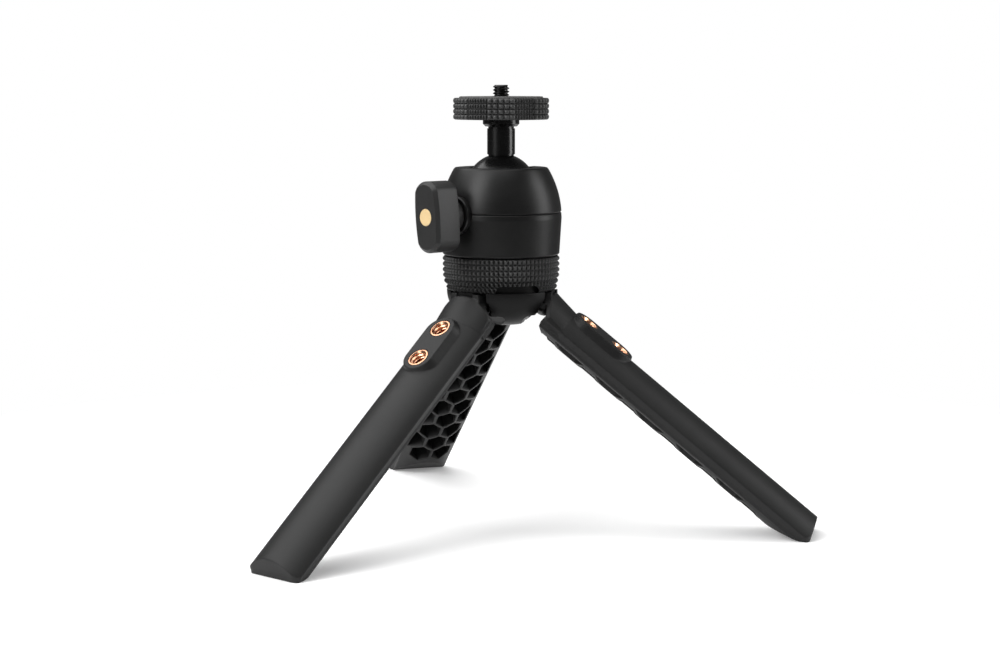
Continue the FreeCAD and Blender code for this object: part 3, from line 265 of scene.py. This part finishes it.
def new_piece(name, shape, material, body, smooth=40.0):
    """Turns a bmesh into a piece that rides on a body, with edges sharper than smooth kept crisp."""
    mesh = bpy.data.meshes.new(name)
    shape.to_mesh(mesh)
    shape.free()
    mesh.materials.append(material)
    mesh.shade_smooth()
    mesh.set_sharp_from_angle(angle=math.radians(smooth))
    piece = bpy.data.objects.new(name, mesh)
    scene.collection.objects.link(piece)
    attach(piece, body)
    return piece


def arch_mill():
    """Three blocks with round shoulders, which mill an arch each."""
    shape = bmesh.new()
    size = Matrix.Diagonal((ARCH_WIDTH, MILL_DEPTH, MILL_HEIGHT, 1))
    seat = Matrix.Translation((0, -ARCH_REACH, collar_bottom + ARCH_HEIGHT - MILL_HEIGHT / 2))
    for number in range(3):
        block = bmesh.ops.create_cube(shape, size=1.0)
        turn = Matrix.Rotation(math.radians(120 * number), 4, "Z")
        bmesh.ops.transform(shape, matrix=turn @ seat @ size, verts=block["verts"])
    shoulders = [edge for edge in shape.edges
                 if all(vertex.co.z > collar_bottom for vertex in edge.verts)
                 and abs(edge.calc_length() - MILL_DEPTH) < 0.1 * mm]
    bmesh.ops.bevel(shape, geom=shoulders, offset=ARCH_SHOULDER, affect="EDGES", segments=5,
                    profile=0.5, material=-1)
    bmesh.ops.recalc_face_normals(shape, faces=shape.faces)
    return shape


def mill_away(piece, shape):
    """Takes a bmesh's shape out of a piece."""
    mill_mesh = bpy.data.meshes.new("mill")
    shape.to_mesh(mill_mesh)
    shape.free()
    mill = bpy.data.objects.new("mill", mill_mesh)
    scene.collection.objects.link(mill)
    milling = piece.modifiers.new("milling", "BOOLEAN")
    milling.object = mill
    milling.solver = "EXACT"
    bpy.context.view_layer.update()
    milled = piece.evaluated_get(bpy.context.evaluated_depsgraph_get())
    milled_mesh = bpy.data.meshes.new_from_object(milled)
    piece.modifiers.remove(milling)
    piece.data = milled_mesh
    bpy.data.objects.remove(mill)


collar_low, collar_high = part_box("knurled_collar")
collar_bottom = collar_low.z
collar_top = collar_high.z
collar_height = collar_top - collar_bottom


def collar_surface(height):
    """The collar's radius over its teeth: straight at the top, and tapered to the foot."""
    taper = min(1.0, (height - collar_bottom) / (collar_height - COLLAR_STRAIGHT))
    return COLLAR_FOOT_RADIUS + (COLLAR_TOP_RADIUS - COLLAR_FOOT_RADIUS) * taper


collar_outline = [(COLLAR_BORE, collar_top), (COLLAR_BORE, collar_bottom)]
for height in rim_heights(collar_bottom, collar_top, COLLAR_ROWS):
    collar_outline.append((collar_surface(height), height))
ring = lathe(collar_outline, COLLAR_TEETH * TOOTH_STEPS)
for vertex in ring.verts:
    reach = reach_of(vertex)
    if reach > COLLAR_BORE + 1 * mm:
        turn = math.atan2(vertex.co.y, vertex.co.x) / (2 * math.pi)
        rise = (vertex.co.z - collar_bottom) / collar_height
        tooth = min(peak(turn * COLLAR_TEETH), peak(rise * COLLAR_ROWS) * 1.1)
        set_reach(vertex, reach - TOOTH_DEPTH * (1 - tooth))
# The collar's tooth crests carry a painted highlight as well as rubbed wear.
collar_finish = knurled_black("knurled_collar_black", 0.001, 0.036, 21.8 * mm, 22.7 * mm)
collar = new_piece("collar_teeth", ring, collar_finish, "hub", smooth=60.0)
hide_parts("knurled_collar")
mill_away(collar, arch_mill())


# Head shells
# The ball is held between two turned shells of black anodised aluminium, screwed into each other at
# the fine split line. A slot in the upper one lets the stem drop right over, and a hard plastic ring
# inside carries the ball.

shell_black = blasted_black("shell_black", 0.006, 0.009, 0.38, turned=0.5)
for node in ("head_cap", "head_body"):
    dress(node, shell_black)


def moulded(name, dark, light, roughness, grain, depth, rounding, shine=0.35):
    """Plastic from a spark-eroded mould: an even fine grain, with faint clouds in its colour."""
    material, place = new_finish(name)
    cloud = place.node("TexNoise", {}, {
        "Vector": place, "Scale": 55.0, "Detail": 5.0, "Roughness": 0.6})
    speck = place.node("TexNoise", {}, {"Vector": place, "Scale": grain, "Detail": 3.0})
    edge = place.node("Bevel", {"samples": 6}, {"Radius": rounding})
    skin = place.node("Bump", {}, {
        "Strength": depth, "Distance": 0.05 * mm, "Height": speck, "Normal": edge})
    shade = (cloud * 0.6 + speck * 0.4).share(0.35, 0.65)
    set_shader(material, {
        "Base Color": shade.tint(grey(dark), grey(light)),
        "Roughness": roughness + (speck - 0.5) * 0.14,
        "Specular IOR Level": shine,
        "Normal": skin,
    })
    return material


seat_plastic = moulded("seat_plastic", 0.010, 0.014, 0.5, 1800.0, 0.2, 0.2 * mm)
for node in ("ball_seat", "brake_pad"):
    dress(node, seat_plastic)


# Lock knob
# The oblong moulded knob is pressed on the lock screw, which runs in a blackened steel boss and
# pushes a plug against the ball. A small gold disc fills the hole in the knob's face.

def gold_disc():
    material, place = new_finish("gold_disc")
    cloud = place.node("TexNoise", {}, {"Vector": place, "Scale": 700.0, "Detail": 3.0})
    skin = place.node("Bump", {}, {"Strength": 0.15, "Distance": 0.02 * mm, "Height": cloud})
    set_shader(material, {
        "Base Color": cloud.tint((0.86, 0.62, 0.31, 1), (0.94, 0.71, 0.39, 1)),
        "Roughness": 0.42 + (cloud - 0.5) * 0.1,
        "Metallic": 0.3,
        "Normal": skin,
    })
    return material


knob_plastic = moulded("knob_plastic", 0.014, 0.022, 0.48, 2400.0, 0.3, 0.3 * mm)
dress("knob_grip", knob_plastic)
dress("knob_inlay", gold_disc())
dress("lock_boss", blasted_black("boss_black", 0.006, 0.010, 0.3))
dress("lock_screw", steel)


# Ball and stem
# One turned piece in the real head: a polished black ball with a short neck that widens to a flange
# under the wheel. It is the glossiest piece of the tripod.

def polished(name, dark, light, roughness):
    material, place = new_finish(name)
    cloud = place.node("TexNoise", {}, {"Vector": place, "Scale": 160.0, "Detail": 4.0})
    level = place.node("Mapping", {}, {"Vector": place, "Scale": (0.02, 0.02, 1.0)})
    turning = place.node("TexNoise", {}, {"Vector": level, "Scale": 2600.0})
    skin = place.node("Bump", {}, {"Strength": 0.03, "Distance": 0.01 * mm, "Height": turning})
    set_shader(material, {
        "Base Color": cloud.share(0.3, 0.7).tint(grey(dark), grey(light)),
        "Roughness": roughness + (turning - 0.5) * 0.08,
        "Specular IOR Level": 0.4,
        "Normal": skin,
    })
    return material


gloss_black = polished("gloss_black", 0.003, 0.005, 0.26)
for node in ("ball", "stem"):
    dress(node, gloss_black)


# Camera screw
# A blackened steel stud with the 1/4 inch thread that cameras take, 20 turns to the inch. It is
# screwed into the stem and stands out of the wheel's pad.

PITCH = 1.27 * mm
SCREW_RADIUS = 3.175 * mm
SCREW_ROOT = 2.5 * mm
SCREW_CHAMFER = 0.7 * mm
THREAD_STEPS = 48


def thread_outline(crest, root, low, high):
    """Points up one side of a thread, past low and high: flat crest, flank, flat root, flank."""
    foot = low - 1.5 * PITCH
    turns = int((high - low) / PITCH) + 3
    points = []
    for turn in range(turns):
        base = foot + PITCH * turn
        points += [(crest, base), (crest, base + PITCH * 0.14), (root, base + PITCH * 0.46),
                   (root, base + PITCH * 0.68)]
    return points + [(crest, foot + PITCH * turns)]


def wind_thread(shape, crest, root, low, high):
    """Winds a thread round the Z axis, and cuts it level at low and high."""
    points = thread_outline(crest, root, low, high)
    column = [shape.verts.new((radius, 0, height)) for radius, height in points]
    edges = [shape.edges.new((a, b)) for a, b in zip(column, column[1:])]
    bmesh.ops.spin(shape, geom=column + edges, cent=(0, 0, 0), axis=(0, 0, 1), angle=2 * math.pi,
                   dvec=(0, 0, PITCH / THREAD_STEPS), steps=THREAD_STEPS)
    bmesh.ops.remove_doubles(shape, verts=shape.verts, dist=1e-6)
    for height, side in ((low, -1), (high, 1)):
        everything = shape.verts[:] + shape.edges[:] + shape.faces[:]
        bmesh.ops.bisect_plane(shape, geom=everything, dist=1e-7, plane_co=(0, 0, height),
                               plane_no=(0, 0, side), clear_outer=True)


screw_low, screw_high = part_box("camera_screw")
stud = bmesh.new()
wind_thread(stud, SCREW_RADIUS, SCREW_ROOT, screw_low.z, screw_high.z)
open_edges = [edge for edge in stud.edges if edge.is_boundary]
bmesh.ops.holes_fill(stud, edges=open_edges, sides=0)
for vertex in stud.verts:
    allowed = SCREW_RADIUS - max(0.0, vertex.co.z - (screw_high.z - SCREW_CHAMFER))
    if reach_of(vertex) > allowed:
        set_reach(vertex, allowed)
bmesh.ops.recalc_face_normals(stud, faces=stud.faces)
screw = new_piece("camera_screw_thread", stud, black_steel, "camera_screw", smooth=35.0)
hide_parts("camera_screw")


# Clamp wheel
# The knurled aluminium wheel that is screwed up against the camera. Six raised lobes with five bold
# teeth each stand between stretches of finer ribs, and ring grooves part all of them into four rows.

WHEEL_RADIUS = 19.1 * mm
WHEEL_BORE = 3.25 * mm
WHEEL_RECESS = 16.3 * mm
RECESS_DEPTH = 1.3 * mm
RIM_WIDTH = 1.35 * mm
WHEEL_ROWS = 4
WHEEL_STEPS = 720
LOBE_EVERY = 60.0
LOBE_ANGLE = 34.0
LOBE_TEETH = 5
LOBE_TOOTH_DEPTH = 0.88 * mm
FRONT_LOBE = -108.5
RIB_COUNT = 7
RIB_DROP = 0.6 * mm
RIB_DEPTH = 0.56 * mm


def pillow(phase, power):
    """The rise across one rounded tooth: 0 in its grooves and 1 at its middle."""
    return math.sin(math.pi * (phase % 1.0)) ** power


def wheel_cut(turn, rise):
    """How deep the rim is cut, at a turn in degrees from the front lobe's side and a rise in rows."""
    turn %= LOBE_EVERY
    if turn < LOBE_ANGLE:
        tooth = pillow(turn / LOBE_ANGLE * LOBE_TEETH, 0.6) * pillow(rise, 0.5)
        return LOBE_TOOTH_DEPTH * (1 - tooth)
    rib = pillow((turn - LOBE_ANGLE) / (LOBE_EVERY - LOBE_ANGLE) * RIB_COUNT, 0.75) * pillow(rise, 0.5)
    return RIB_DROP + RIB_DEPTH * (1 - rib)


wheel_low, wheel_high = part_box("clamp_wheel")
wheel_bottom = wheel_low.z
wheel_top = wheel_high.z
recess_floor = wheel_top - RECESS_DEPTH
wheel_outline = [(WHEEL_BORE, recess_floor), (WHEEL_BORE, wheel_bottom),
                 (WHEEL_RADIUS - RIM_WIDTH, wheel_bottom)]
for height in rim_heights(wheel_bottom, wheel_top, WHEEL_ROWS):
    wheel_outline.append((WHEEL_RADIUS, height))
wheel_outline += [(WHEEL_RADIUS - RIM_WIDTH, wheel_top), (WHEEL_RECESS, wheel_top),
                  (WHEEL_RECESS, recess_floor)]
rim = lathe(wheel_outline, WHEEL_STEPS)
for vertex in rim.verts:
    reach = reach_of(vertex)
    if reach > WHEEL_RADIUS - 0.1 * mm:
        turn = math.degrees(math.atan2(vertex.co.y, vertex.co.x)) - FRONT_LOBE + LOBE_ANGLE / 2
        rise = (vertex.co.z - wheel_bottom) / (wheel_top - wheel_bottom) * WHEEL_ROWS
        set_reach(vertex, reach - wheel_cut(turn, rise))
# The wheel's tooth crests carry a painted highlight as well as rubbed wear.
wheel_finish = knurled_black("clamp_wheel_black", 0.001, 0.044, 17.8 * mm, 19.1 * mm)
wheel = new_piece("clamp_wheel_teeth", rim, wheel_finish, "clamp_wheel", smooth=60.0)
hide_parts("clamp_wheel")


# Wheel pad
# A thin rubber disc let into the top of the wheel, which keeps the camera from slipping and from
# being scratched.

def rubber(name):
    material, place = new_finish(name)
    speck = place.node("TexNoise", {}, {"Vector": place, "Scale": 1500.0, "Detail": 3.0})
    dust = place.node("TexNoise", {}, {"Vector": place, "Scale": 180.0, "Detail": 5.0})
    skin = place.node("Bump", {}, {"Strength": 0.3, "Distance": 0.04 * mm, "Height": speck})
    set_shader(material, {
        "Base Color": dust.share(0.35, 0.7).tint(grey(0.060), grey(0.085, 0.02)),
        "Roughness": 0.68 + (speck - 0.5) * 0.2,
        "Normal": skin,
    })
    return material


dress("wheel_pad", rubber("pad_rubber"))


# Legs
# Each leg is one moulding of glass-filled nylon in a matt charcoal: a long rounded back with a raised
# seat near the top, and a honeycomb of ribs underneath. The long edges left by the mould are eased.

leg_nylon = moulded("leg_nylon", 0.006, 0.010, 0.50, 2200.0, 0.3, 0.9 * mm, shine=0.30)
for leg in ("left", "right", "rear"):
    dress("leg_" + leg, leg_nylon)


# Threaded inserts
# Two copper-coloured metal bushes are moulded into each leg's seat. They have a rounded rim and the
# same 1/4 inch thread as the camera screw.

LEG_DIRECTIONS = {"left": -60.0, "right": 60.0, "rear": 180.0}
LEG_SLOPE = math.radians(38.96)
HINGE_OUT = 17.5 * mm
HINGE_HEIGHT = 87.1 * mm
SEAT_HEIGHT = 5.79 * mm
INSERT_REACH = {"upper": 17.7 * mm, "lower": 33.3 * mm}
INSERT_LENGTH = 6.4 * mm
INSERT_RADIUS = 4.1 * mm
INSERT_MOUTH = 3.5 * mm
INSERT_MINOR = 2.62 * mm
INSERT_MAJOR = 3.2 * mm
INSERT_ROUNDING = 0.25 * mm


def copper():
    material, place = new_finish("insert_copper")
    cloud = place.node("TexNoise", {}, {"Vector": place, "Scale": 500.0, "Detail": 3.0})
    set_shader(material, {
        "Base Color": cloud.share(0.3, 0.7).tint((0.74, 0.36, 0.20, 1), (0.86, 0.50, 0.33, 1)),
        "Roughness": 0.26 + (cloud - 0.5) * 0.12,
        "Metallic": 1.0,
    })
    return material


def leg_place(direction):
    """The leg's own axes from its hinge: X down the leg, Y level, Z out of its back."""
    angle = math.radians(direction)
    out = Vector((math.sin(angle), -math.cos(angle), 0))
    up = Vector((0, 0, 1))
    down_leg = out * math.cos(LEG_SLOPE) - up * math.sin(LEG_SLOPE)
    level = Vector((math.cos(angle), math.sin(angle), 0))
    back = out * math.sin(LEG_SLOPE) + up * math.cos(LEG_SLOPE)
    axes = Matrix((down_leg, level, back)).transposed().to_4x4()
    return Matrix.Translation(out * HINGE_OUT + up * HINGE_HEIGHT) @ axes


def threaded_bush():
    """One insert about its own Z axis, with its rim at z = 0."""
    shape = bmesh.new()
    wind_thread(shape, INSERT_MAJOR, INSERT_MINOR, -INSERT_LENGTH, 0)
    for vertex in shape.verts:
        set_reach(vertex, max(reach_of(vertex), INSERT_MOUTH + vertex.co.z))
    ends = [edge for edge in shape.edges if edge.is_boundary]
    flange = bmesh.ops.extrude_edge_only(shape, edges=ends)["geom"]
    outside = [part for part in flange if isinstance(part, bmesh.types.BMVert)]
    for vertex in outside:
        set_reach(vertex, INSERT_RADIUS)
    bmesh.ops.bridge_loops(shape, edges=[edge for edge in shape.edges if edge.is_boundary])
    rim_edge = [edge for edge in shape.edges
                if all(vertex in outside and vertex.co.z > -1 * mm for vertex in edge.verts)]
    bmesh.ops.bevel(shape, geom=rim_edge, offset=INSERT_ROUNDING, affect="EDGES", segments=2,
                    profile=0.5, material=-1)
    bmesh.ops.recalc_face_normals(shape, faces=shape.faces)
    return shape


insert_copper = copper()
for leg, direction in LEG_DIRECTIONS.items():
    for place, reach in INSERT_REACH.items():
        node = "insert_%s_%s" % (place, leg)
        bush = threaded_bush()
        seat = leg_place(direction) @ Matrix.Translation((reach, 0, SEAT_HEIGHT))
        bmesh.ops.transform(bush, matrix=seat, verts=bush.verts)
        piece = new_piece(node + "_thread", bush, insert_copper, "leg_" + leg)
        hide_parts(node)


# Studio
# A white table that runs out of sight, a wide soft lamp overhead, one at each side that draws the
# light bands on the head, and the photograph's camera.

WHITE = (1, 1, 1, 1)
TABLE_RADIUS = 0.38
TABLE_GLOW = 0.20
SHADOW_CENTRE = (0.02, 0.02, 0.0)
SHADOW_REACH = (0.15, 0.36)
LEGS_MIDDLE = (0, 0.05, 0.06)
HEAD_MIDDLE = (0, 0, 0.12)
ROOM_FILL = 0.12
ROOM_SHINE = 0.08
WALL_SHINE = 0.08
CAMERA_PLACE = (-0.25203, -0.75016, 0.1749)
CAMERA_RISE = 82.827
CAMERA_TURN = -18.54
CAMERA_LENS = 73.49
AWAY_FROM_CAMERA = (0.318, 0.948, 0.0)


def white_table():
    """Matt white that keeps the tripod's shadow, and turns into the plain white backdrop further out."""
    material, place = new_finish("table_white")
    paper = place.node("TexNoise", {}, {"Vector": place, "Scale": 14.0, "Detail": 3.0})
    camera_ray = place.node("LightPath", {}, {}, "Is Camera Ray")
    glossy_ray = place.node("LightPath", {}, {}, "Is Glossy Ray")
    seen = camera_ray + glossy_ray
    ends = {0: place, 1: SHADOW_CENTRE}
    far = place.node("VectorMath", {"operation": "DISTANCE"}, ends, "Value").share(*SHADOW_REACH)
    set_shader(material, {
        "Base Color": paper.tint(grey(0.84), grey(0.87)),
        "Roughness": 0.8,
        "Emission Color": seen.tint(grey(0.0), grey(TABLE_GLOW)),
        "Emission Strength": 1.0,
    })
    tree = material.node_tree
    shader = Finish(tree, tree.nodes["Principled BSDF"].outputs[0])
    backdrop = place.node("Emission", {}, {"Color": WHITE, "Strength": 1.0})
    mix = place.node("MixShader", {}, {0: seen * far, 1: shader, 2: backdrop})
    tree.links.new(mix.socket, tree.nodes["Material Output"].inputs["Surface"])
    return material


disc = bmesh.new()
bmesh.ops.create_circle(disc, cap_ends=True, segments=128, radius=TABLE_RADIUS)
table_mesh = bpy.data.meshes.new("table")
disc.to_mesh(table_mesh)
disc.free()
table_mesh.materials.append(white_table())
floor = bpy.data.objects.new("table", table_mesh)
scene.collection.objects.link(floor)


def soft_lamp(name, place, target, width, height, power):
    lamp = bpy.data.lights.new(name, "AREA")
    lamp.shape = "RECTANGLE"
    lamp.size = width
    lamp.size_y = height
    lamp.energy = power
    holder = bpy.data.objects.new(name, lamp)
    holder.location = place
    holder.rotation_euler = (Vector(target) - Vector(place)).to_track_quat("-Z", "Y").to_euler()
    scene.collection.objects.link(holder)


soft_lamp("overhead", (-0.28, 0.14, 1.0), LEGS_MIDDLE, width=1.5, height=1.5, power=18.0)
soft_lamp("left_side", (-0.92, -0.30, 0.60), HEAD_MIDDLE, width=0.50, height=0.8, power=8.0)
soft_lamp("right_side", (0.87, -0.30, 0.38), HEAD_MIDDLE, width=0.36, height=0.8, power=5.4)

# The camera sees a white room. The tripod's gloss sees a dim one, lighter on the wall behind it.
world = bpy.data.worlds.new("studio")
world.use_nodes = True
scene.world = world
air = Finish(world.node_tree)


def room(level):
    return air.node("Background", {}, {"Color": WHITE, "Strength": level})


toward = air.node("TexCoord", {}, {}, "Generated")
aim = {0: toward, 1: AWAY_FROM_CAMERA}
behind = air.node("VectorMath", {"operation": "DOT_PRODUCT"}, aim, "Value").share(0.6, 0.97)
camera_ray = air.node("LightPath", {}, {}, "Is Camera Ray")
glossy_ray = air.node("LightPath", {}, {}, "Is Glossy Ray")
unseen = air.node("MixShader", {}, {
    0: glossy_ray, 1: room(ROOM_FILL), 2: room(ROOM_SHINE + behind * WALL_SHINE)})
seen = air.node("MixShader", {}, {0: camera_ray, 1: unseen, 2: room(1.0)})
world.node_tree.links.new(seen.socket, world.node_tree.nodes["World Output"].inputs["Surface"])

lens = bpy.data.cameras.new("camera")
lens.sensor_width = 36.0
lens.lens = CAMERA_LENS
lens.clip_start = 0.01
lens.clip_end = 20.0
camera = bpy.data.objects.new("camera", lens)
camera.location = CAMERA_PLACE
camera.rotation_euler = (math.radians(CAMERA_RISE), 0, math.radians(CAMERA_TURN))
scene.collection.objects.link(camera)
scene.camera = camera
scene.view_settings.view_transform = "Standard"
